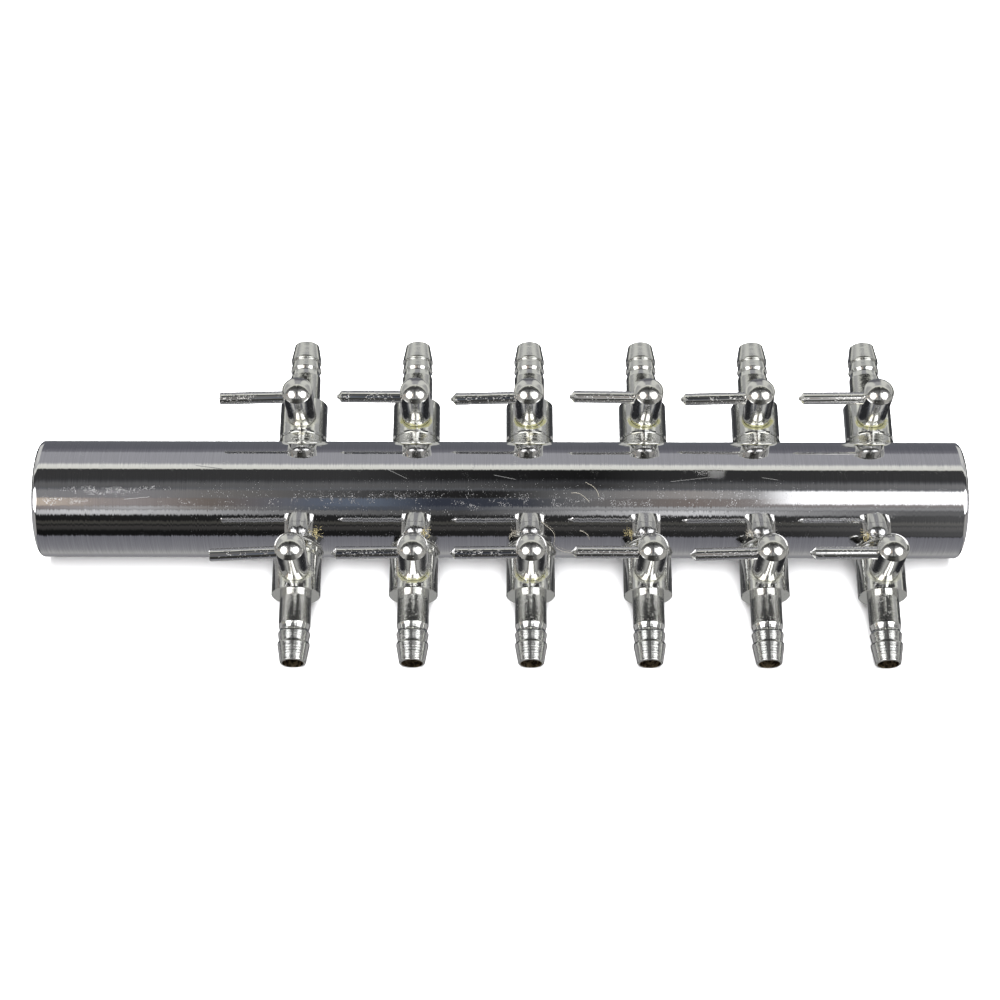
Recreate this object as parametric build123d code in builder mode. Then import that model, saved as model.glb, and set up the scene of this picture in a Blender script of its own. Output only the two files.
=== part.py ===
from build123d import *
from math import asin, atan2, cos, hypot, radians, sin, sqrt, tan
import os

# Air manifold: a closed tube with a row of lever cocks along each side.
# All lengths are in millimetres. +X runs along the tube, away from its open end.
# The origin is on the surface it lies on, under the middle of the tube.

# Tube
TUBE_LENGTH = 159.0
TUBE_RADIUS = 10.1
TUBE_WALL = 1.2
TUBE_EDGE_ROUND = 0.7
TUBE_EDGE_START = 20.0
TUBE_MOUTH_CHAMFER = 0.3

# Disc brazed into a counterbore in the closed end of the tube
END_PLUG_THICKNESS = 4.0
END_PLUG_RECESS = 0.3
END_PLUG_CHAMFER = 0.4
END_SEAT_STEP = 0.25

# Rows of cocks
VALVES_PER_ROW = 6
VALVE_PITCH = 20.0
INLET_STRETCH = 44.7

# Turned cock body, with distances measured outward from the axis of the tube
SPIGOT_RADIUS = 3.2
SPIGOT_CLEARANCE = 0.05
SPIGOT_SHORT_OF_BORE = 0.3
COLLAR_RADIUS = 4.2
COLLAR_EDGE_REACH = 10.9
NECK_GROOVE_WIDTH = 0.45
NECK_GROOVE_DEPTH = 0.35
BARREL_RADIUS = 4.15
BARREL_REACH = 18.2
BARREL_CHAMFER = 0.25
FLOW_BORE_RADIUS = 1.8

# Hose barb: a plain shank, two crests with a groove before each, and a tapered tip
SHANK_RADIUS = 2.68
SHANK_REACH = 23.7
GROOVE_RADIUS = 2.44
GROOVE_REACHES = (24.6, 26.8)
GROOVE_WIDTH = 0.15
CREST_RADIUS = 2.72
CREST_REACHES = (25.2, 27.0)
CREST_LANDS = (0.1, 0.3)
TIP_REACH = 30.4
TIP_RADIUS = 2.2
TIP_ROUND = 0.2

# Tapered plug with its stem and domed head, heights measured from the flow axis
STEM_REACH = 14.6
STEM_RADIUS = 2.5
PLUG_TAPER = 3.0
PLUG_CLEARANCE = 0.05
PLUG_PORT_RADIUS = 1.4
HEAD_RADIUS = 2.6
HEAD_HEIGHT = 4.2
HEAD_RIM_HEIGHT = 12.9
HEAD_RIM_CHAMFER = 0.12
HEAD_DOME_RADIUS = 2.95

# Lever rod pressed into the side of the head
LEVER_RADIUS = 1.05
LEVER_DROP = 2.4
LEVER_REACH = 13.5
LEVER_SEAT = 1.0
LEVER_FLAT_CHAMFER = 0.15
LEVER_POINT_LENGTH = 0.5
LEVER_NUB_RADIUS = 0.42
LEVER_NUB_LENGTH = 0.3

# Flanged screw that holds the plug in from below
SPOT_FACE_DEPTH = 0.55
SPOT_FACE_RADIUS = 3.15
FLANGE_GAP = 0.05
FLANGE_RADIUS = 2.9
FLANGE_THICKNESS = 0.4
SCREW_HEAD_RADIUS = 1.6
SCREW_HEAD_HEIGHT = 0.7
SCREW_RADIUS = 0.8
SCREW_LENGTH = 1.5
SLOT_WIDTH = 0.45
SLOT_DEPTH = 0.35

# How each cock was left, from the open end on: the lean of its stem towards +X
# and the turn of its lever from square to the flow, outward positive, in degrees
FRONT_LEANS = (-0.5, 1.0, -0.5, 0.5, -0.5, -0.5)
REAR_LEANS = (-0.5, 0.5, -1.5, 1.0, -3.0, -1.0)
FRONT_TURNS = (2.5, 1.3, 0.5, 0.0, 1.5, 0.0)
REAR_TURNS = (-1.5, 0.0, -1.0, 0.0, 0.0, 0.0)

# Worked out from the sizes above
TUBE_BORE = TUBE_RADIUS - TUBE_WALL
END_SEAT_RADIUS = TUBE_BORE + END_SEAT_STEP
END_SEAT_DEPTH = END_PLUG_THICKNESS + END_PLUG_RECESS
SPOT_FACE_HEIGHT = BARREL_RADIUS - SPOT_FACE_DEPTH
PLUG_FOOT = SPOT_FACE_HEIGHT + FLANGE_GAP
PLUG_FOOT_RADIUS = STEM_RADIUS - (BARREL_RADIUS + PLUG_FOOT) * tan(radians(PLUG_TAPER))
LEVER_HEIGHT = HEAD_RIM_HEIGHT - LEVER_DROP
OVERCUT = 1.0

# The manifold rolls on its tube until the front barbs touch the surface
lip_reach = TIP_REACH - TIP_ROUND
lip_radius = TIP_RADIUS - TIP_ROUND
rest_tilt = asin((TUBE_RADIUS - TIP_ROUND) / hypot(lip_reach, lip_radius)) - atan2(lip_radius, lip_reach)
along_tube = Vector(1, 0, 0)
to_rear = Vector(0, cos(rest_tilt), sin(rest_tilt))
to_top = Vector(0, -sin(rest_tilt), cos(rest_tilt))
open_end = Vector(-TUBE_LENGTH / 2, 0, TUBE_RADIUS)


class Cock:
    """Where one cock sits: its flow axis, its stem axis and its lever's direction."""

    def __init__(self, row, index):
        leans = FRONT_LEANS if row == "front" else REAR_LEANS
        turns = FRONT_TURNS if row == "front" else REAR_TURNS
        lean = radians(leans[index % len(leans)])
        turn = radians(turns[index % len(turns)])
        self.name = f"{row}_{index + 1}"
        self.flat_ended = index == 0
        self.root = open_end + along_tube * (INLET_STRETCH + index * VALVE_PITCH)
        self.out = to_rear * (-1 if row == "front" else 1)
        self.up = to_top * cos(lean) + along_tube * sin(lean)
        self.side = self.out.cross(self.up)
        self.stem_foot = self.root + self.out * STEM_REACH
        square = to_top * sin(lean) - along_tube * cos(lean)
        self.lever = square * cos(turn) + self.out * sin(turn)
        self.hinge = square.cross(self.out)

    def flow_profile(self):
        """Plane through the flow axis: X is outward and Y is up the stem."""
        return Plane(origin=self.root, x_dir=self.out, z_dir=self.side)

    def stem_profile(self):
        """Plane through the stem axis: X is outward and Y is up the stem."""
        return Plane(origin=self.stem_foot, x_dir=self.out, z_dir=self.side)

    def across_flow(self, reach):
        return Plane(origin=self.root + self.out * reach, x_dir=self.side, z_dir=self.out)

    def across_stem(self, height):
        return Plane(origin=self.stem_foot + self.up * height, x_dir=self.out, z_dir=self.up)

    def across_lever(self, height, reach):
        origin = self.stem_foot + self.up * height + self.lever * reach
        return Plane(origin=origin, x_dir=self.up, z_dir=self.lever)

    def across_tube(self):
        """Plane square to the tube, clear of the cock on the open-end side."""
        start = self.root - along_tube * (COLLAR_RADIUS + OVERCUT)
        return Plane(origin=start, z_dir=along_tube)


cocks = [Cock(row, index) for row in ("front", "rear") for index in range(VALVES_PER_ROW)]


def tube_section():
    """Half section of the tube wall. Its edges are rolled over, from a shallow corner on."""
    half = TUBE_LENGTH / 2
    start = radians(TUBE_EDGE_START)
    edge_reach = half - TUBE_EDGE_ROUND * (1 - sin(start))
    face_radius = TUBE_RADIUS - TUBE_EDGE_ROUND * cos(start)
    near_face, near_edge = (-half, face_radius), (-edge_reach, TUBE_RADIUS)
    far_edge, far_face = (edge_reach, TUBE_RADIUS), (half, face_radius)
    inside = [
        far_face,
        (half, END_SEAT_RADIUS),
        (half - END_SEAT_DEPTH, END_SEAT_RADIUS),
        (half - END_SEAT_DEPTH, TUBE_BORE),
        (-half + TUBE_MOUTH_CHAMFER, TUBE_BORE),
        (-half, TUBE_BORE + TUBE_MOUTH_CHAMFER),
        near_face,
    ]
    return near_face, near_edge, far_edge, far_face, inside


def make_tube():
    """Drawn tube, open at the inlet, with a hole for each cock's spigot."""
    near_face, near_edge, far_edge, far_face, inside = tube_section()
    tube_axis = Vector(0, 0, TUBE_RADIUS)
    with BuildPart() as tube:
        with BuildSketch(Plane(origin=tube_axis, x_dir=along_tube, z_dir=(0, -1, 0))):
            with BuildLine():
                RadiusArc(near_face, near_edge, TUBE_EDGE_ROUND)
                Line(near_edge, far_edge)
                RadiusArc(far_edge, far_face, TUBE_EDGE_ROUND)
                Polyline(inside)
            make_face()
        revolve(axis=Axis(tube_axis, along_tube))
        for cock in cocks:
            with BuildSketch(cock.across_flow(0)):
                Circle(SPIGOT_RADIUS + SPIGOT_CLEARANCE)
            extrude(amount=TUBE_RADIUS + OVERCUT, mode=Mode.SUBTRACT)
    return tube


def make_end_plug():
    """Disc that closes the far end, set just inside the rounded rim."""
    seat = open_end + along_tube * (TUBE_LENGTH - END_PLUG_RECESS)
    with BuildPart() as end_plug:
        with BuildSketch(Plane(origin=seat, z_dir=along_tube)):
            Circle(END_SEAT_RADIUS)
        extrude(amount=-END_PLUG_THICKNESS)
        chamfer(end_plug.edges().sort_by(Axis.X)[-1], END_PLUG_CHAMFER)
    return end_plug


def body_outline():
    """Half section of collar, neck groove, barrel and barb, as reach and radius."""
    barrel_start = COLLAR_EDGE_REACH + NECK_GROOVE_WIDTH
    groove_radius = BARREL_RADIUS - NECK_GROOVE_DEPTH
    points = [
        (0, 0),
        (0, COLLAR_RADIUS),
        (COLLAR_EDGE_REACH, COLLAR_RADIUS),
        (COLLAR_EDGE_REACH, groove_radius),
        (barrel_start, groove_radius),
        (barrel_start, BARREL_RADIUS - BARREL_CHAMFER),
        (barrel_start + BARREL_CHAMFER, BARREL_RADIUS),
        (BARREL_REACH - BARREL_CHAMFER / 2, BARREL_RADIUS),
        (BARREL_REACH, BARREL_RADIUS - BARREL_CHAMFER / 2),
        (BARREL_REACH, SHANK_RADIUS),
        (SHANK_REACH, SHANK_RADIUS),
    ]
    for groove, crest, land in zip(GROOVE_REACHES, CREST_REACHES, CREST_LANDS):
        points.append((groove, GROOVE_RADIUS))
        points.append((groove + GROOVE_WIDTH, GROOVE_RADIUS))
        points.append((crest, CREST_RADIUS))
        points.append((crest + land, CREST_RADIUS))
    return points


def make_body(cock):
    """One turned cock body, saddled onto the tube, with its flow and plug bores."""
    points = body_outline()
    lip_start = (TIP_REACH - TIP_ROUND, TIP_RADIUS)
    lip_end = (TIP_REACH, TIP_RADIUS - TIP_ROUND)
    with BuildPart() as body:
        with BuildSketch(cock.flow_profile()):
            with BuildLine():
                Polyline(points + [lip_start])
                RadiusArc(lip_start, lip_end, TIP_ROUND)
                Polyline([lip_end, (TIP_REACH, 0), points[0]])
            make_face()
        revolve(axis=Axis(cock.root, cock.out))
        with BuildSketch(cock.across_tube()):
            Circle(TUBE_RADIUS)
        extrude(amount=2 * (COLLAR_RADIUS + OVERCUT), mode=Mode.SUBTRACT)
        with BuildSketch(cock.across_flow(COLLAR_EDGE_REACH)):
            Circle(SPIGOT_RADIUS)
        extrude(amount=-COLLAR_EDGE_REACH)
        with BuildSketch(cock.across_tube()):
            Circle(TUBE_BORE + SPIGOT_SHORT_OF_BORE)
        extrude(amount=2 * (COLLAR_RADIUS + OVERCUT), mode=Mode.SUBTRACT)
        with BuildSketch(cock.across_flow(0)):
            Circle(FLOW_BORE_RADIUS)
        extrude(amount=TIP_REACH + OVERCUT, mode=Mode.SUBTRACT)
        with BuildSketch(cock.across_stem(-SPOT_FACE_HEIGHT)):
            Circle(SPOT_FACE_RADIUS)
        extrude(amount=-SPOT_FACE_DEPTH - OVERCUT, mode=Mode.SUBTRACT)
        with BuildSketch(cock.stem_profile()):
            with BuildLine():
                Polyline(plug_flank(PLUG_CLEARANCE), close=True)
            make_face()
        revolve(axis=Axis(cock.stem_foot, cock.up), mode=Mode.SUBTRACT)
    return body


def plug_flank(clearance):
    """Half section of the tapered seat, wider all round by the clearance."""
    slope = tan(radians(PLUG_TAPER))
    low = -BARREL_RADIUS - OVERCUT
    low_radius = STEM_RADIUS - (BARREL_RADIUS - low) * slope + clearance
    high = BARREL_RADIUS + OVERCUT
    return [
        (0, low),
        (low_radius, low),
        (STEM_RADIUS + clearance, BARREL_RADIUS),
        (STEM_RADIUS + clearance, high),
        (0, high),
    ]


def make_plug(cock):
    """Tapered plug, stem and domed head in one, with its port and lever socket."""
    dome_drop = sqrt(HEAD_DOME_RADIUS**2 - (HEAD_RADIUS - HEAD_RIM_CHAMFER) ** 2)
    dome_top = HEAD_RIM_HEIGHT + HEAD_DOME_RADIUS - dome_drop
    rim = (HEAD_RADIUS - HEAD_RIM_CHAMFER, HEAD_RIM_HEIGHT)
    head_foot = HEAD_RIM_HEIGHT - HEAD_HEIGHT
    flank = [
        (0, dome_top),
        (0, -PLUG_FOOT),
        (PLUG_FOOT_RADIUS, -PLUG_FOOT),
        (STEM_RADIUS, BARREL_RADIUS),
        (STEM_RADIUS, head_foot),
        (HEAD_RADIUS, head_foot + HEAD_RIM_CHAMFER),
        (HEAD_RADIUS, HEAD_RIM_HEIGHT - HEAD_RIM_CHAMFER),
        rim,
    ]
    with BuildPart() as plug:
        with BuildSketch(cock.stem_profile()):
            with BuildLine():
                Polyline(flank)
                RadiusArc(rim, flank[0], -HEAD_DOME_RADIUS)
            make_face()
        revolve(axis=Axis(cock.stem_foot, cock.up))
        with BuildSketch(cock.across_lever(0, 0)):
            Circle(PLUG_PORT_RADIUS)
        extrude(amount=STEM_RADIUS + OVERCUT, both=True, mode=Mode.SUBTRACT)
        with BuildSketch(cock.across_lever(LEVER_HEIGHT, LEVER_SEAT)):
            Circle(LEVER_RADIUS)
        extrude(amount=HEAD_RADIUS + OVERCUT, mode=Mode.SUBTRACT)
        with BuildSketch(cock.across_stem(-PLUG_FOOT)):
            Circle(SCREW_RADIUS)
        extrude(amount=SCREW_LENGTH, mode=Mode.SUBTRACT)
    return plug


def make_lever(cock):
    """Round rod from its seat in the head to a flat or a pointed end."""
    length = LEVER_REACH - LEVER_SEAT
    if cock.flat_ended:
        end = [
            (length - LEVER_FLAT_CHAMFER, LEVER_RADIUS),
            (length, LEVER_RADIUS - LEVER_FLAT_CHAMFER),
        ]
    else:
        nub_start = length - LEVER_NUB_LENGTH
        end = [
            (nub_start - LEVER_POINT_LENGTH, LEVER_RADIUS),
            (nub_start, LEVER_NUB_RADIUS),
            (length - LEVER_NUB_LENGTH / 2, LEVER_NUB_RADIUS),
            (length, LEVER_NUB_RADIUS / 2),
        ]
    seat = cock.across_lever(LEVER_HEIGHT, LEVER_SEAT)
    with BuildPart() as lever:
        with BuildSketch(Plane(origin=seat.origin, x_dir=cock.lever, z_dir=cock.lever.cross(cock.up))):
            with BuildLine():
                Polyline([(0, 0), (0, LEVER_RADIUS)] + end + [(length, 0)], close=True)
            make_face()
        revolve(axis=Axis(seat.origin, cock.lever))
    return lever


def make_screw(cock):
    """Flanged cheese-head screw under the plug, with its slot."""
    head_foot = -PLUG_FOOT - FLANGE_THICKNESS
    with BuildPart() as screw:
        with BuildSketch(cock.across_stem(-PLUG_FOOT)):
            Circle(SCREW_RADIUS)
        extrude(amount=SCREW_LENGTH)
        with BuildSketch(cock.across_stem(head_foot)):
            Circle(FLANGE_RADIUS)
        extrude(amount=FLANGE_THICKNESS)
        with BuildSketch(cock.across_stem(head_foot)):
            Circle(SCREW_HEAD_RADIUS)
        extrude(amount=-SCREW_HEAD_HEIGHT)
        with BuildSketch(cock.across_stem(head_foot - SCREW_HEAD_HEIGHT)):
            Rectangle(2 * SCREW_HEAD_RADIUS + OVERCUT, SLOT_WIDTH)
        extrude(amount=SLOT_DEPTH, mode=Mode.SUBTRACT)
    return screw


def save(piece, name):
    piece.part.label = name
    export_step(piece.part, f"parts/{name}.step")


os.makedirs("parts", exist_ok=True)
save(make_tube(), "tube")
save(make_end_plug(), "end_plug")
for cock in cocks:
    save(make_body(cock), f"valve_body_{cock.name}")
    save(make_plug(cock), f"plug_{cock.name}")
    save(make_lever(cock), f"lever_{cock.name}")
    save(make_screw(cock), f"plug_screw_{cock.name}")
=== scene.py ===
import math
import random

import bpy
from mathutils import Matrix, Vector


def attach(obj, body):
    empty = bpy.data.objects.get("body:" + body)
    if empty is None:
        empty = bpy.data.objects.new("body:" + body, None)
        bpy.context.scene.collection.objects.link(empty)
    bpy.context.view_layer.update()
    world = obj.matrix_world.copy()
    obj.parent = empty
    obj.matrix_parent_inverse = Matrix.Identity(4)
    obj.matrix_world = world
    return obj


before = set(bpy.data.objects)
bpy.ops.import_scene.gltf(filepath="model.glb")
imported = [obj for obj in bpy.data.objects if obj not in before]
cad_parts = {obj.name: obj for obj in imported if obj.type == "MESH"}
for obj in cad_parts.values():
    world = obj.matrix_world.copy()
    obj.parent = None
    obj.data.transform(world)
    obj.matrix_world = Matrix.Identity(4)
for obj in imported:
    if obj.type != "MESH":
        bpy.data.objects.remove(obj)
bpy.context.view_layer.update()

# The bench it lies on: a wide sheet of white card under two round diffusers,
# one each side of the camera, in a dim room. The card is left out of reflections,
# so the chrome mirrors the greys of the room, as it does at the bench.
for thing in list(bpy.context.selected_objects):
    thing.select_set(False)
scene = bpy.context.scene
scene.view_settings.view_transform = "Standard"
scene.view_settings.look = "None"

eye = bpy.data.objects.new("bench_camera", bpy.data.cameras.new("bench_camera"))
scene.collection.objects.link(eye)
eye.location = (-0.001456, -0.230651, 0.279914)
eye.rotation_euler = (math.radians(40.5163), math.radians(-0.2519), math.radians(-0.0568))
eye.data.sensor_width = 36.0
eye.data.lens = 73.382
eye.data.clip_start = 0.01
eye.data.clip_end = 50.0
scene.camera = eye


class Finish:
    """A value that varies over a surface: one socket in a finish's nodes."""

    def __init__(self, tree, socket=None):
        self.tree = tree
        self.socket = socket

    def node(self, kind, settings=None, sockets=None, out=0):
        """Adds any node: its settings first, then the values or links of its sockets."""
        made = self.tree.nodes.new(kind)
        for name, value in (settings or {}).items():
            if name == "stops":
                ramp = made.color_ramp.elements
                while len(ramp) < len(value):
                    ramp.new(0.5)
                for stop, (place, grey) in zip(ramp, value):
                    stop.position = place
                    stop.color = (*grey, 1.0) if isinstance(grey, tuple) else (grey, grey, grey, 1.0)
            else:
                setattr(made, name, value)
        for name, value in (sockets or {}).items():
            if isinstance(value, Finish):
                self.tree.links.new(value.socket, made.inputs[name])
            else:
                made.inputs[name].default_value = value
        return Finish(self.tree, made.outputs[out])

    def sum_of(self, operation, first, second=0.0, third=0.0):
        """Any operation on numbers, by its Math node."""
        return self.node("ShaderNodeMath", {"operation": operation}, {0: first, 1: second, 2: third})

    def __add__(self, other):
        return self.sum_of("ADD", self, other)

    def __sub__(self, other):
        return self.sum_of("SUBTRACT", self, other)

    def __rsub__(self, other):
        return self.sum_of("SUBTRACT", other, self)

    def __mul__(self, other):
        return self.sum_of("MULTIPLY", self, other)

    def __truediv__(self, other):
        return self.sum_of("DIVIDE", self, other)

    def __neg__(self):
        return self.sum_of("MULTIPLY", self, -1.0)

    def __abs__(self):
        return self.sum_of("ABSOLUTE", self)

    def __gt__(self, other):
        return self.sum_of("GREATER_THAN", self, other)

    __radd__ = __add__
    __rmul__ = __mul__

    def most(self, other):
        return self.sum_of("MAXIMUM", self, other)

    def least(self, other):
        return self.sum_of("MINIMUM", self, other)

    def between(self, low, high, start=0.0, end=1.0):
        """Goes from start to end as the value goes from low to high."""
        sockets = {"Value": self, "From Min": low, "From Max": high, "To Min": start, "To Max": end}
        return self.node("ShaderNodeMapRange", {"interpolation_type": "SMOOTHSTEP"}, sockets)

    def ramp(self, stops):
        """Greys or colours by value, each stop as its place and its shade."""
        return self.node("ShaderNodeValToRGB", {"stops": stops}, {0: self})

    def mix(self, share, first, second):
        """The first colour with a share of the second over it."""
        first, second = [(*tint, 1.0) if isinstance(tint, tuple) else tint for tint in (first, second)]
        return self.node("ShaderNodeMix", {"data_type": "RGBA"}, {0: share, 6: first, 7: second}, 2)

    def spot(self):
        """The place of a point on the finished object."""
        return self.node("ShaderNodeTexCoord", out="Object")

    def way(self, letter):
        """One coordinate of a place or of a direction."""
        return self.node("ShaderNodeSeparateXYZ", {}, {0: self}, letter)

    def noise(self, scale, detail, roughness=0.5):
        """Cloudy noise over places, drawn out where each direction has a scale of its own."""
        place = self
        if isinstance(scale, tuple):
            place = self.node("ShaderNodeVectorMath", {"operation": "MULTIPLY"}, {0: self, 1: scale})
            scale = 1.0
        sockets = {"Vector": place, "Scale": scale, "Detail": detail, "Roughness": roughness}
        return self.node("ShaderNodeTexNoise", {}, sockets, "Fac")

    def rings(self, scale, detail):
        """Noise in one direction, as a lathe tool leaves it."""
        sockets = {"W": self, "Scale": scale, "Detail": detail}
        return self.node("ShaderNodeTexNoise", {"noise_dimensions": "1D"}, sockets, "Fac")

    def dots(self, scale):
        """How far a place is from the nearest of many scattered dots."""
        sockets = {"Vector": self, "Scale": scale}
        return self.node("ShaderNodeTexVoronoi", {"feature": "F1"}, sockets, "Distance")

    def bump(self, distance, level=None):
        """A relief from heights, over the plain surface or over a level that already leans."""
        sockets = {"Strength": 1.0, "Distance": distance, "Height": self}
        if level is not None:
            sockets["Normal"] = level
        return self.node("ShaderNodeBump", {}, sockets)


card_white = bpy.data.materials.new("card_white")
card_white.use_nodes = True
card = card_white.node_tree.nodes["Principled BSDF"]
sheet = Finish(card_white.node_tree)
from_middle = sheet.node("ShaderNodeVectorMath", {"operation": "LENGTH"}, {0: sheet.spot()}, "Value")
card_whole, card_gone = 0.8, 1.4
fade_out = from_middle.between(card_whole, card_gone, 1.0, 0.0)
card_white.node_tree.links.new(fade_out.socket, card.inputs["Alpha"])
card.inputs["Base Color"].default_value = (0.86, 0.86, 0.87, 1.0)
card.inputs["Roughness"].default_value = 0.9
card.inputs["Specular IOR Level"].default_value = 0.1
bpy.ops.mesh.primitive_plane_add(size=6.0, location=(0.0, 0.0, 0.0))
bench = bpy.context.active_object
bench.name = "bench_card"
bench.data.materials.append(card_white)
bench.visible_glossy = False


def hang_lamp(name, heading, distance, size, power, shape):
    """An area lamp that looks at the object from one direction."""
    lamp = bpy.data.objects.new(name, bpy.data.lights.new(name, "AREA"))
    scene.collection.objects.link(lamp)
    lamp.data.shape = shape
    lamp.data.size = size
    lamp.data.energy = power
    lamp.visible_camera = False
    lamp.location = heading * distance
    lamp.rotation_euler = heading.to_track_quat("Z", "Y").to_euler()
    return lamp


diffuser_rise = math.radians(47.0)
diffuser_swing = math.radians(39.0)
diffuser_distance, diffuser_size, diffuser_power = 1.2, 0.92, 5.6
for side, hand in (("left", -1.0), ("right", 1.0)):
    ahead = math.cos(diffuser_swing)
    heading = Vector((
        hand * math.sin(diffuser_swing), -ahead * math.cos(diffuser_rise), ahead * math.sin(diffuser_rise),
    ))
    diffuser = hang_lamp(
        f"diffuser_{side}", heading, diffuser_distance, diffuser_size, diffuser_power, "DISK")
    diffuser.visible_diffuse = False
overhead_height, overhead_width, overhead_depth, overhead_power = 1.0, 0.6, 3.0, 78.0
overhead = hang_lamp(
    "overhead_softener", Vector((0.0, 0.0, 1.0)), overhead_height, overhead_width, overhead_power,
    "RECTANGLE")
overhead.data.size_y = overhead_depth
overhead.visible_glossy = False

# The room round the bench, as tones by direction. Rise is 0 straight out from the
# front of the bench, 90 overhead, 180 behind it, and below zero under its top.
room = bpy.data.worlds.new("dim_room")
scene.world = room
room.use_nodes = True
room.node_tree.nodes.clear()
air = Finish(room.node_tree)
heading = air.node("ShaderNodeTexCoord", out="Generated")
across, ahead, height = heading.way("X"), heading.way("Y"), heading.way("Z")
rise = air.sum_of("ARCTAN2", height, -ahead) * (0.5 / math.pi) + 0.5
along = across * 2.0 + 0.5
aside = abs(across)


def at_rise(stops):
    """A ramp whose stops are angles of rise, in degrees."""
    return rise.ramp([((angle + 180.0) / 360.0, shade) for angle, shade in stops])


def strip(low, full, fade, high, strength=1.0):
    """A mask that grows between the first two angles and ends between the last two."""
    return at_rise([(-180, 0.0), (low, 0.0), (full, strength), (fade, strength), (high, 0.0), (180, 0.0)])


whole = at_rise([
    (-180, (0.135, 0.138, 0.155)), (-131, (0.14, 0.145, 0.16)), (-130, (0.42, 0.41, 0.42)),
    (-83, (0.4, 0.4, 0.39)), (-76, 0.34), (-70, (0.29, 0.29, 0.3)), (-57, (0.24, 0.24, 0.255)),
    (-30, (0.185, 0.185, 0.205)), (-27, 0.004), (-16, 0.005), (-13, (0.06, 0.058, 0.055)),
    (-6, (0.09, 0.085, 0.08)), (-4, 0.02), (-2, 0.02), (0, (0.10, 0.098, 0.085)), (4, (0.11, 0.105, 0.09)),
    (6.5, 0.015), (17, 0.02), (57, (0.20, 0.21, 0.23)), (95, (0.028, 0.028, 0.03)), (110, 0.025),
    (112, (0.82, 0.82, 0.74)), (119.5, (0.86, 0.86, 0.80)), (121.5, (0.37, 0.37, 0.39)),
    (154, (0.37, 0.37, 0.39)), (158, (0.20, 0.20, 0.22)), (170, (0.14, 0.14, 0.16)),
    (180, (0.135, 0.138, 0.155)),
])
# Strips of the room that change from left to right: four angles of rise, how much of
# the strip shows, and its tones from 0 at the left to 1 at the right.
room_strips = (
    (17, 20, 27.5, 29, 1.0, (
        (0.0, 0.35), (0.1, 0.72), (0.156, 0.6), (0.225, 0.42), (0.31, 0.2), (0.47, 0.07), (0.54, 0.2),
        (0.588, 0.4), (0.70, 0.75), (0.79, 0.35), (0.9, 0.15),
    )),
    (28, 30, 35, 37, 1.0, (
        (0.0, (0.15, 0.125, 0.115)), (0.07, (0.3, 0.27, 0.26)), (0.156, 0.5), (0.225, (0.27, 0.25, 0.23)),
        (0.33, (0.11, 0.125, 0.15)), (0.47, (0.07, 0.075, 0.09)), (0.588, 0.33), (0.70, 0.45), (0.9, 0.3),
    )),
    (35, 37, 51, 53, 1.0, (
        (0.0, (0.7, 0.6, 0.5)), (0.07, (0.62, 0.53, 0.44)), (0.12, (0.36, 0.32, 0.3)),
        (0.156, (0.33, 0.3, 0.29)), (0.225, (0.185, 0.156, 0.135)), (0.33, (0.12, 0.14, 0.18)),
        (0.38, (0.137, 0.163, 0.207)), (0.44, (0.038, 0.044, 0.061)), (0.53, (0.05, 0.055, 0.07)),
        (0.588, 0.16), (0.70, (0.23, 0.196, 0.177)), (0.775, (0.3, 0.28, 0.27)),
    )),
    (51, 53, 66, 70, 1.0, (
        (0.0, 0.26), (0.156, (0.27, 0.265, 0.27)), (0.225, (0.20, 0.19, 0.18)), (0.34, 0.10), (0.44, 0.02),
        (0.51, 0.02), (0.588, 0.18), (0.70, (0.36, 0.34, 0.32)), (0.775, 0.4),
    )),
    (66, 74, 80, 88, 1.0, (
        (0.0, 0.14), (0.36, 0.13), (0.45, 0.1), (0.6, 0.04), (0.65, 0.1), (0.85, 0.17), (1.0, 0.24),
    )),
    (80, 92, 108, 111, 1.0, (
        (0.0, 0.05), (0.36, 0.045), (0.45, 0.02), (0.6, 0.012), (0.65, 0.03), (1.0, 0.055),
    )),
    (-28, -26, 17, 19, 0.45, (
        (0.0, 0.012), (0.3, 0.02), (0.78, 0.06), (0.86, 0.13), (0.95, 0.2), (1.0, 0.2),
    )),
)
for low, full, fade, high, strength, tones in room_strips:
    whole = air.mix(strip(low, full, fade, high, strength), whole, along.ramp(tones))

# What only the stems, barrels and heads mirror: the shade under them, the sides of
# the room, the pale wall far behind, and last the window at the right.
hidden = strip(-134, -131, -60, -50) * (aside.between(0.23, 0.40) * aside.between(0.5, 0.6, 1.0, 0.0))
whole = air.mix(hidden, whole, (0.02, 0.021, 0.024))
shaded = strip(-133, -131, -102, -88) * aside.between(0.2, 0.26, 1.0, 0.0)
whole = air.mix(shaded, whole, (0.27, 0.27, 0.28))
sideways = strip(-66, -60, 12, 20) * aside.between(0.48, 0.6)
whole = air.mix(sideways, whole, (0.4, 0.39, 0.375))
flank = at_rise([(-180, 1.0), (-134, 1.0), (-130, 0.0), (104, 0.0), (108, 1.0), (180, 1.0)])
flank_tone = at_rise([
    (-180, 0.62), (-176, (0.8, 0.8, 0.74)), (-168, (0.7, 0.7, 0.64)), (-162, 0.08),
    (-145, (0.05, 0.052, 0.058)), (-137, 0.05), (-132, 0.2), (-130, 0.3), (108, 0.08),
    (111, (0.8, 0.8, 0.74)), (119, (0.9, 0.9, 0.84)), (122, 0.42), (150, 0.42), (163, 0.34), (174, 0.42),
    (180, 0.62),
])
whole = air.mix(flank * aside.between(0.40, 0.58), whole, flank_tone)
behind = at_rise([(-180, 1.0), (-172, 1.0), (-164, 0.0), (121, 0.0), (126, 1.0), (180, 1.0)])
over_heads = behind * (aside.between(0.22, 0.28) * aside.between(0.58, 0.68, 1.0, 0.0))
whole = air.mix(over_heads, whole, (0.7, 0.7, 0.67))
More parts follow.
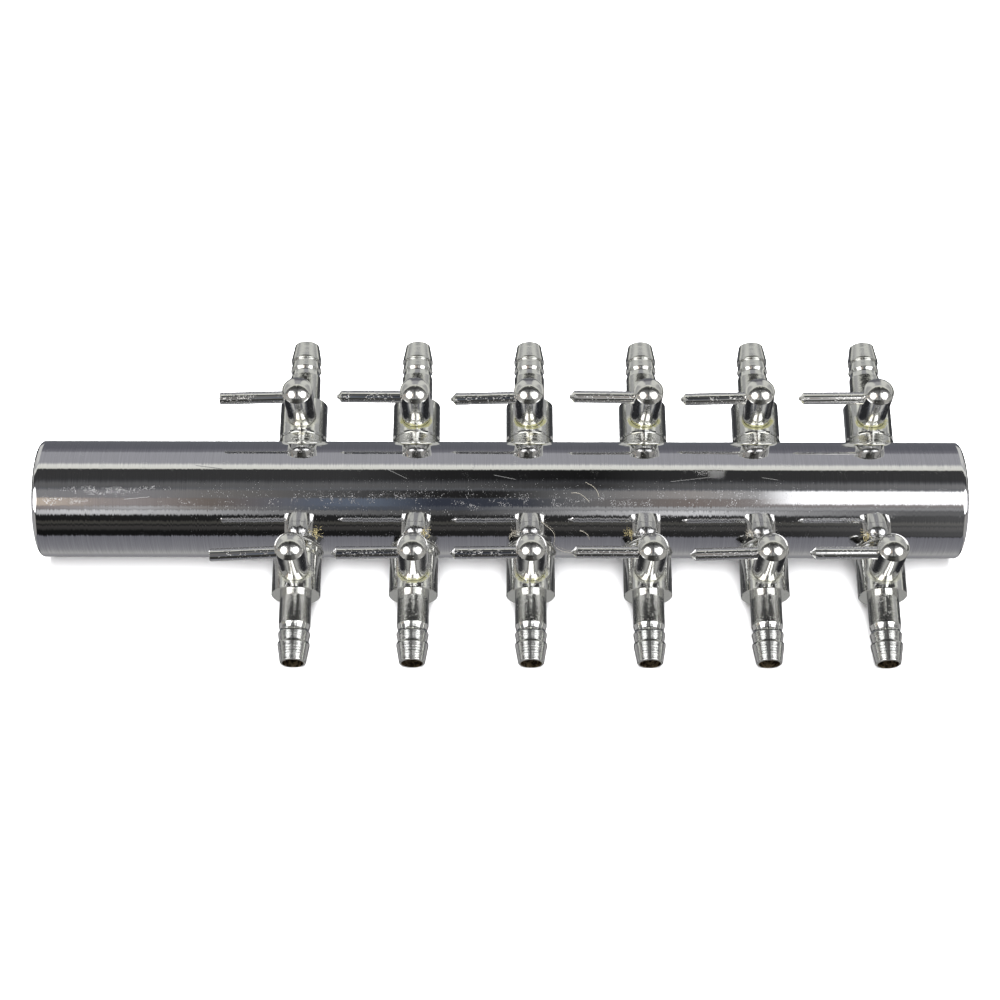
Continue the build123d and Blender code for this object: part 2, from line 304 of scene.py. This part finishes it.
window_side = along.ramp([(0.76, 0.0), (0.80, 1.0), (1.0, 1.0)]) * aside.between(0.28, 0.36, 1.0, 0.0)
whole = air.mix(strip(40.5, 42.5, 65.5, 68) * window_side, whole, (1.7, 1.7, 1.7))
seen = air.node("ShaderNodeLightPath", out="Is Camera Ray")
backdrop = air.mix(seen, whole, (1.0, 1.0, 1.0))
glow = air.node("ShaderNodeBackground", {}, {"Color": backdrop, "Strength": 1.0})
room_end = room.node_tree.nodes.new("ShaderNodeOutputWorld")
room.node_tree.links.new(glow.socket, room_end.inputs["Surface"])


# The tube: drawn brass tube, polished on a wheel that left fine lines round it,
# and plated with chrome. It has scratches and white scuffs from handling, most of
# them near its open end and along its crown.
def plating(name, tint, roughness):
    """A bright plated finish, with a field to build its detail on and its shader."""
    plate = bpy.data.materials.new(name)
    plate.use_nodes = True
    shader = plate.node_tree.nodes["Principled BSDF"]
    shader.inputs["Base Color"].default_value = (*tint, 1.0)
    shader.inputs["Metallic"].default_value = 1.0
    shader.inputs["Roughness"].default_value = roughness
    return plate, Finish(plate.node_tree), shader


def feed(shader, socket, value):
    """Lets a value that varies drive one socket of a shader."""
    shader.id_data.links.new(value.socket, shader.inputs[socket])


def dress(piece, finish):
    """Gives a piece its finish in place of any other."""
    piece.data.materials.clear()
    piece.data.materials.append(finish)


tube_radius = 0.0101
axis_height = tube_radius
tube_finish, field, shader = plating("wheel_polished_chrome", (0.75, 0.75, 0.77), 0.06)
place = field.spot()
along, ahead = place.way("X"), place.way("Y")
height = place.way("Z") - axis_height
turn = field.sum_of("ARCTAN2", height, -ahead)


def round_tube(low, high, start=0.0, end=1.0):
    """Goes from start to end between two angles round the tube, in degrees from its front."""
    return turn.between(math.radians(low), math.radians(high), start, end)


wheel_lines = place.noise((9000.0, 160.0, 160.0), 1.0)
long_waves = place.noise((45.0, 200.0, 200.0), 2.0)
line_sway_front, line_sway_top, wave_sway = 0.09, 0.035, 0.012
rim_start, rim_corner = 0.0784, 0.07904
rim_lean = math.tan(math.radians(20.0))
off_axis = field.sum_of("SQRT", ahead * ahead + height * height)
outside = off_axis.between(0.0093, 0.0095)
line_sway = round_tube(55.0, 75.0, line_sway_front, line_sway_top)
sway = ((wheel_lines - 0.5) * line_sway + (long_waves - 0.5) * wave_sway) * outside / off_axis
end_lean = field.sum_of("SIGN", along) * abs(along).between(rim_start, rim_corner, 0.0, rim_lean) * outside
end_lean = end_lean * round_tube(-5.0, 20.0)
lean = field.node("ShaderNodeCombineXYZ", {}, {"X": end_lean, "Y": sway * height, "Z": -(sway * ahead)})
level = field.node("ShaderNodeNewGeometry", out="Normal")
leaning = field.node("ShaderNodeVectorMath", {"operation": "ADD"}, {0: level, 1: lean})
leaning = field.node("ShaderNodeVectorMath", {"operation": "NORMALIZE"}, {0: leaning})

# Scuffs: place along the tube, angle round it, half length, half width in degrees, depth.
scuff_places = (
    (-0.0675, 58.0, 0.007, 4.5, 1.0), (-0.059, 60.0, 0.005, 3.0, 0.8), (0.001, 44.0, 0.012, 5.0, 0.55),
    (-0.024, 52.0, 0.013, 6.0, 0.5), (0.012, 47.0, 0.014, 7.0, 0.5), (-0.074, 47.0, 0.005, 4.0, 0.7),
    (0.0355, 77.0, 0.003, 6.0, 0.8),
)
scuffed = None
for middle, angle, reach, spread, amount in scuff_places:
    off_along = (along - middle) / reach
    off_round = (turn - math.radians(angle)) / math.radians(spread)
    near = (off_along * off_along + off_round * off_round).between(0.1, 1.8, amount, 0.0)
    scuffed = near if scuffed is None else scuffed.most(near)
patches = place.noise(620.0, 3.0)
specks = place.noise(5600.0, 1.0, 0.4)
fleck = (specks + scuffed * 0.05).between(0.58, 0.64) * (patches + scuffed * 0.2).between(0.54, 0.66)
fleck = fleck.most(place.dots(800.0).between(0.02, 0.045, 0.8, 0.0))
dust = place.dots(2400.0).between(0.13, 0.26, 1.0, 0.0)
dusty = round_tube(2.0, 12.0) * round_tube(68.0, 76.0, 1.0, 0.0)
dusty = dusty * patches.between(0.4, 0.62, 0.25, 1.0) * abs(along).between(0.04, 0.07, 1.0, 0.4)

# Scratches: start along and round the tube, end along and round it, half width.
scratches = (
    (0.0284, 67.4, 0.0375, 73.1, 0.00005), (-0.0014, 74.2, 0.0030, 68.9, 0.00004),
    (-0.0196, 80.9, -0.0155, 68.9, 0.00004), (-0.0520, 84.0, -0.0470, 80.0, 0.00004),
    (0.0440, 72.0, 0.0475, 69.0, 0.00004), (-0.0640, 49.0, -0.0590, 52.0, 0.00004),
)
scratch_fade = 0.0006
scratched = None
for start, start_angle, end, end_angle, half_width in scratches:
    run = end - start
    climb = tube_radius * math.radians(end_angle - start_angle)
    reach = math.hypot(run, climb)
    off_along = along - start
    off_round = (turn - math.radians(start_angle)) * tube_radius
    passed = off_along * (run / reach) + off_round * (climb / reach)
    aslant = abs(off_round * (run / reach) - off_along * (climb / reach))
    within = passed.between(0.0, scratch_fade) * passed.between(reach - scratch_fade, reach, 1.0, 0.0)
    cut = aslant.between(0.4 * half_width, 1.6 * half_width, 1.0, 0.0) * within
    scratched = cut if scratched is None else scratched.most(cut)
smear_middle, smear_reach = 0.0367, 0.0016
off_smear = (along - smear_middle) / smear_reach
smear = (off_smear * off_smear).between(0.0, 1.6, 1.0, 0.0) * round_tube(66.0, 74.0)
smear = smear * round_tube(78.0, 79.5, 1.0, 0.0)
worn = (fleck * (scuffed * scuffed * 0.35 + 0.18)).most(scratched * 0.3).most(dust * dusty * 0.36)
feed(shader, "Base Color", wheel_lines.ramp([(0.36, (0.79, 0.79, 0.81)), (0.64, (0.73, 0.73, 0.75))]))
feed(shader, "Roughness", worn.most(smear * 0.34) + wheel_lines * 0.03 + 0.02)
feed(shader, "Normal", (scratched * 0.4).bump(0.00002, leaning))
dress(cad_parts["tube"], tube_finish)


# The disc that closes the far end: turned from brass, pressed against the step in
# the tube and brazed, then plated with it. The tool left rings round its centre.
disc_finish, field, shader = plating("turned_disc_chrome", (0.74, 0.74, 0.76), 0.16)
place = field.spot()
ahead = place.way("Y")
height = place.way("Z") - axis_height
rings = field.sum_of("SQRT", ahead * ahead + height * height).rings(5200.0, 3.0)
film = place.noise(420.0, 4.0)
feed(shader, "Roughness", rings * 0.1 + film.between(0.5, 0.75, 0.08, 0.3))
feed(shader, "Normal", rings.bump(0.00003))
dress(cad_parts["end_plug"], disc_finish)


# The twelve cock bodies: each turned in one piece from brass bar, with collar,
# barrel and stepped hose barb, bored through and plated. The tool's rings show on
# the barb, the barrel's flanks are pitted, and the bore is bare brown brass.
roll = math.radians(15.3038)
row_ahead = Vector((0.0, math.cos(roll), math.sin(roll)))
row_above = Vector((0.0, -math.sin(roll), math.cos(roll)))
cock_pitch = 0.020
first_cock = -0.0348
stem_reach = 0.0146


def cock_places(field):
    """A place, and how far it is beside, out from and above the flow axis of its own cock."""
    place = field.spot()
    axis_place = (0.0, 0.0, axis_height)
    rod = field.node("ShaderNodeVectorMath", {"operation": "SUBTRACT"}, {0: place, 1: axis_place})
    along = rod.way("X")
    beside = field.sum_of("WRAP", along - first_cock, 0.5 * cock_pitch, -0.5 * cock_pitch)
    ahead, above = [
        field.node("ShaderNodeVectorMath", {"operation": "DOT_PRODUCT"}, {0: rod, 1: tuple(way)}, "Value")
        for way in (row_ahead, row_above)
    ]
    return place, beside, ahead, above, along


def dress_cocks(kind, finish):
    """Gives one finish to the same piece of all twelve cocks."""
    for row in ("front", "rear"):
        for number in range(1, 7):
            dress(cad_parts[f"{kind}_{row}_{number}"], finish)


collar_edge = (0.0114, 0.0116)
barrel_edge = (0.0180, 0.0183)
shank_edge = (0.0236, 0.0242)
tip_edge = (0.0245, 0.0255)
bore_edge = (0.00184, 0.0019)
grease_edge = (0.0031, 0.0035)
body_finish, field, shader = plating("turned_body_chrome", (0.75, 0.75, 0.76), 0.12)
place, beside, ahead, above, along = cock_places(field)
out = abs(ahead)
off_axis = field.sum_of("SQRT", beside * beside + above * above)
on_collar = out.between(*collar_edge, 1.0, 0.0)
on_barrel = out.between(*barrel_edge, 1.0, 0.0)
on_shank = out.between(*barrel_edge) * out.between(*shank_edge, 1.0, 0.0)
on_tip = out.between(*tip_edge)
bored = off_axis.between(*bore_edge, 1.0, 0.0)
tool_rings = out.rings(8000.0, 2.0)
grain = place.noise(1500.0, 4.0, 0.65)
patches = place.noise(480.0, 3.0)
pitted = place.dots(2600.0).between(0.14, 0.3, 1.0, 0.0) * grain.between(0.44, 0.58)
pitted = pitted * patches.between(0.38, 0.56) * (on_barrel * 0.9 + on_shank * 0.9 + 0.1)

# Yellow-green grease squeezed out round each stem, more on some cocks than on others,
# and only on the side away from the tube in the front row, towards it in the rear row.
off_stem = field.sum_of("SQRT", beside * beside + (out - stem_reach) * (out - stem_reach))
camera_side = (out - stem_reach) * field.sum_of("SIGN", -ahead)
front_share = along.between(-0.026, -0.024, 0.35, 0.75) * along.between(0.014, 0.016, 1.0, 0.4)
front_share = front_share + along.between(0.054, 0.056, 0.0, 0.08)
rear_share = along.between(-0.026, -0.024, 0.3, 1.0)
share = field.node("ShaderNodeMix", {"data_type": "FLOAT"}, {0: ahead > 0.0, 2: front_share, 3: rear_share})
ring = (off_stem + patches * 0.0007).between(*grease_edge, 1.0, 0.0) * camera_side.between(-0.0008, 0.0012)
greased = (ring * above.between(0.001, 0.0016) * share * grain.between(0.3, 0.5)).least(0.8)
near_root = out.between(0.0106, 0.0118, 1.0, 0.0) * above.between(0.0, 0.0025) * patches.between(0.55, 0.68)
stained = (near_root * 0.5).least(0.5)

plate_shade = field.mix(stained, (0.75, 0.755, 0.735), (0.5, 0.45, 0.22))
plate_shade = field.mix((pitted * 0.75).least(0.75), plate_shade, (0.16, 0.15, 0.13))
plate_shade = field.mix(greased, plate_shade, (0.2, 0.19, 0.018))
bore_shade = field.mix(grain.between(0.4, 0.62), (0.06, 0.045, 0.03), (0.34, 0.27, 0.17))
feed(shader, "Base Color", field.mix(bored, plate_shade, bore_shade))
feed(shader, "Metallic", 1.0 - greased * 0.6)
rough = tool_rings * 0.04 + pitted * 0.3 + bored * 0.3 + greased * 0.3 + stained * 0.2
rough = rough + on_tip * 0.05 + on_shank * 0.09 + 0.045
feed(shader, "Roughness", rough.least(0.9))
relief = tool_rings * (on_tip * 0.4 + on_collar * 0.3 + 0.06)
relief = relief + grain * (on_barrel * 0.14 + on_shank * 0.9 + 0.06) - pitted * 0.6
feed(shader, "Normal", relief.bump(0.00004))
dress_cocks("valve_body", body_finish)


# The plugs with their stems and domed heads: turned and polished before plating,
# so they are the brightest parts. The dome of the head is a little duller than the stem.
head_edge = (0.0125, 0.0129)
plug_finish, field, shader = plating("polished_plug_chrome", (0.8, 0.8, 0.775), 0.12)
place, _, _, above, _ = cock_places(field)
stem_lines = place.noise((500.0, 900.0, 2600.0), 2.0)
ripples = place.noise(700.0, 2.0)
dust = place.dots(1700.0).between(0.05, 0.1, 1.0, 0.0)
feed(shader, "Roughness", stem_lines * 0.06 + dust * 0.3 + above.between(*head_edge) * 0.06 + 0.08)
feed(shader, "Normal", (stem_lines * 0.25 + ripples * 0.45 + dust * 0.25).bump(0.00004))
dress_cocks("plug", plug_finish)


# The lever rods: drawn wire cut to length, the first of each row square and the
# rest to a point, pressed into the heads. Drawing left fine lines along them, and
# the plate on them is pitted. The rear row is given a lighter tint than the
# front row, a painted sheen for the brighter light the rear levers catch.
lever_finish, field, shader = plating("drawn_lever_chrome", (0.74, 0.74, 0.75), 0.12)
place = field.spot()
draw_lines = place.noise((120.0, 2400.0, 2400.0), 2.0)
pitted = place.noise((3000.0, 4200.0, 4200.0), 2.0, 0.4).between(0.57, 0.64)
pitted = pitted * place.noise(520.0, 2.0).between(0.38, 0.52)
rear_row_painted_lighter = place.way("Y") > 0.0
# Painted light: the rear levers get a lighter tint than the front ones, standing in for how they catch the
# light.
feed(shader, "Base Color", field.mix(rear_row_painted_lighter, (0.82, 0.82, 0.82), (0.95, 0.95, 0.93)))
feed(shader, "Roughness", draw_lines * 0.02 + pitted * 0.4 + 0.015)
feed(shader, "Normal", (draw_lines * 0.18 + pitted * 0.12).bump(0.00004))
dress_cocks("lever", lever_finish)


# The flanged screws under the plugs: plain steel, turned, with a sawn slot and a
# film of old grease that has darkened them.
screw_finish, field, shader = plating("plain_screw_steel", (0.5, 0.49, 0.47), 0.3)
film = field.spot().noise(900.0, 4.0)
feed(shader, "Base Color", film.ramp([(0.35, (0.5, 0.49, 0.47)), (0.7, (0.27, 0.24, 0.19))]))
feed(shader, "Roughness", film.between(0.3, 0.8, 0.22, 0.5))
feed(shader, "Normal", film.bump(0.00002))
dress_cocks("plug_screw", screw_finish)


# The brazing: a thin fillet of silver braze that ran round the collar of each cock
# where it sits on the tube, a little uneven, then plated over with the rest.
def row_out(row):
    """Outward direction of one row of cocks."""
    return row_ahead * (-1.0 if row == "front" else 1.0)


def laid_ring(name, centre, direction, radius, target, thickness, uneven, seed):
    """A ring of round section that follows the surface under it, made a mesh."""
    ring_points, ray_start = 72, 0.004
    bpy.ops.object.select_all(action="DESELECT")
    turned = direction.to_track_quat("Z", "X").to_euler()
    bpy.ops.mesh.primitive_circle_add(vertices=ring_points, radius=radius, location=centre, rotation=turned)
    ring = bpy.context.active_object
    ring.name = name
    bpy.ops.object.transform_apply(location=True, rotation=True, scale=True)
    fall = direction.normalized()
    for point in ring.data.vertices:
        hit, spot, _, _ = target.ray_cast(point.co + fall * ray_start, -fall)
        if hit:
            point.co = spot
    bpy.ops.object.convert(target="CURVE")
    line = ring.data
    line.dimensions = "3D"
    line.bevel_depth = thickness
    line.bevel_resolution = 3
    for number, point in enumerate(line.splines[0].points):
        round_it = number * math.tau / ring_points
        swell = math.sin(2.0 * round_it + seed) + 0.6 * math.sin(5.0 * round_it + 2.3 * seed)
        point.radius = 1.0 + uneven * swell
    bpy.ops.object.convert(target="MESH")
    return ring


braze_radius, braze_thickness, braze_uneven = 0.00428, 0.00017, 0.14
braze_finish, field, shader = plating("plated_braze", (0.55, 0.55, 0.53), 0.3)
runs = field.spot().noise(900.0, 3.0)
feed(shader, "Roughness", runs.between(0.35, 0.75, 0.2, 0.45))
feed(shader, "Normal", runs.bump(0.00008))
for row in ("front", "rear"):
    for number in range(6):
        root = Vector((first_cock + number * cock_pitch, 0.0, axis_height))
        foot = root + row_out(row) * tube_radius
        seed = number * 1.7 + (0.4 if row == "rear" else 0.0)
        braze = laid_ring(
            f"braze_{row}_{number + 1}", foot, row_out(row), braze_radius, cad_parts["tube"],
            braze_thickness, braze_uneven, seed)
        dress(braze, braze_finish)
        bpy.ops.object.shade_smooth()
        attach(braze, "manifold")


# Lint: a loop of cotton thread and short fibres that a cloth left on the tube, and
# small tufts caught at the feet of the front cocks, some brown with old grease.
def laid_fibre(points, thickness):
    """A fine fibre through places given along the tube, round it in degrees and above it."""
    bpy.ops.object.select_all(action="DESELECT")
    bpy.ops.curve.primitive_nurbs_path_add(radius=0.01, location=(0.0, 0.0, 0.0))
    fibre = bpy.context.active_object
    line = fibre.data
    path = line.splines[0]
    path.points.add(len(points) - len(path.points))
    for spot, (reach, angle, lift) in zip(path.points, points):
        off = tube_radius + lift
        turned = math.radians(angle)
        spot.co = (reach, -off * math.cos(turned), axis_height + off * math.sin(turned), 1.0)
    path.order_u = 3
    path.use_endpoint_u = True
    path.resolution_u = 8
    line.bevel_depth = thickness
    line.bevel_resolution = 1
    bpy.ops.object.convert(target="MESH")
    bpy.ops.object.shade_smooth()
    return fibre


def lint_finish(name, tint):
    """Dull fluff that is darker in places."""
    lint = bpy.data.materials.new(name)
    lint.use_nodes = True
    shader = lint.node_tree.nodes["Principled BSDF"]
    fuzz = Finish(lint.node_tree).spot().noise(2500.0, 2.0)
    dull = tuple(0.6 * part for part in tint)
    feed(shader, "Base Color", fuzz.ramp([(0.35, dull), (0.65, tint)]))
    feed(shader, "Roughness", fuzz.between(0.3, 0.7, 0.6, 0.9))
    return lint


cotton = lint_finish("cotton_lint", (0.4, 0.37, 0.31))
brown_lint = lint_finish("greasy_lint", (0.46, 0.39, 0.2))
thread_thickness = 0.00003
threads = (
    ("thread_loop", (
        (0.0069, 28.0, 0.0001), (0.0082, 23.0, 0.0004), (0.0092, 17.0, 0.0006), (0.0093, 9.0, 0.0005),
        (0.0090, 2.0, 0.0004), (0.0102, -7.0, 0.0003), (0.0118, -13.0, 0.0002), (0.0132, -13.0, 0.0002),
    )),
    ("fibre_low", (
        (0.0135, 18.6, 0.0001), (0.0141, 17.5, 0.0001), (0.0147, 15.0, 0.0001), (0.0151, 11.0, 0.0001),
        (0.0152, 8.3, 0.0001),
    )),
    ("fibre_arc", (
        (0.0144, 66.4, 0.00005), (0.0152, 64.5, 0.00005), (0.0160, 61.0, 0.00005), (0.0165, 56.5, 0.00005),
        (0.0167, 51.9, 0.00005),
    )),
    ("fibre_hook", (
        (0.0120, 55.9, 0.00005), (0.0126, 56.5, 0.00005), (0.0134, 55.5, 0.00005), (0.0142, 52.5, 0.00005),
        (0.0150, 48.0, 0.00005),
    )),
)
for name, points in threads:
    fibre = laid_fibre(points, thread_thickness)
    fibre.name = name
    fibre.data.materials.append(cotton)
    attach(fibre, "manifold")
tuft_places = (
    (1, -0.0314, 16.0, brown_lint), (2, -0.0126, 17.0, brown_lint), (3, 0.0022, 15.0, cotton),
    (4, 0.0220, 16.0, brown_lint), (5, 0.0424, 15.0, cotton), (6, 0.0624, 15.0, brown_lint),
)
strand_count, strand_points, strand_thickness = 14, 5, 0.000026
strand_step, strand_lift = 0.00019, 0.00012
stray = random.Random(5)
for number, reach, angle, tuft_finish in tuft_places:
    strands = []
    for _ in range(strand_count):
        heading = stray.uniform(0.0, math.tau)
        curl = stray.uniform(-1.4, 1.4)
        spot_along = reach + stray.uniform(-0.0006, 0.0006)
        spot_angle = angle + stray.uniform(-4.0, 3.0)
        points = []
        for step in range(strand_points):
            points.append((spot_along, spot_angle, 0.0001 + strand_lift * step))
            spot_along += strand_step * math.cos(heading)
            spot_angle += math.degrees(strand_step / tube_radius) * math.sin(heading)
            heading += curl * 0.5
        strands.append(laid_fibre(points, strand_thickness))
    bpy.ops.object.select_all(action="DESELECT")
    for strand in strands:
        strand.select_set(True)
    bpy.context.view_layer.objects.active = strands[0]
    bpy.ops.object.join()
    tuft = strands[0]
    tuft.name = f"lint_tuft_{number}"
    tuft.data.materials.append(tuft_finish)
    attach(tuft, "manifold")
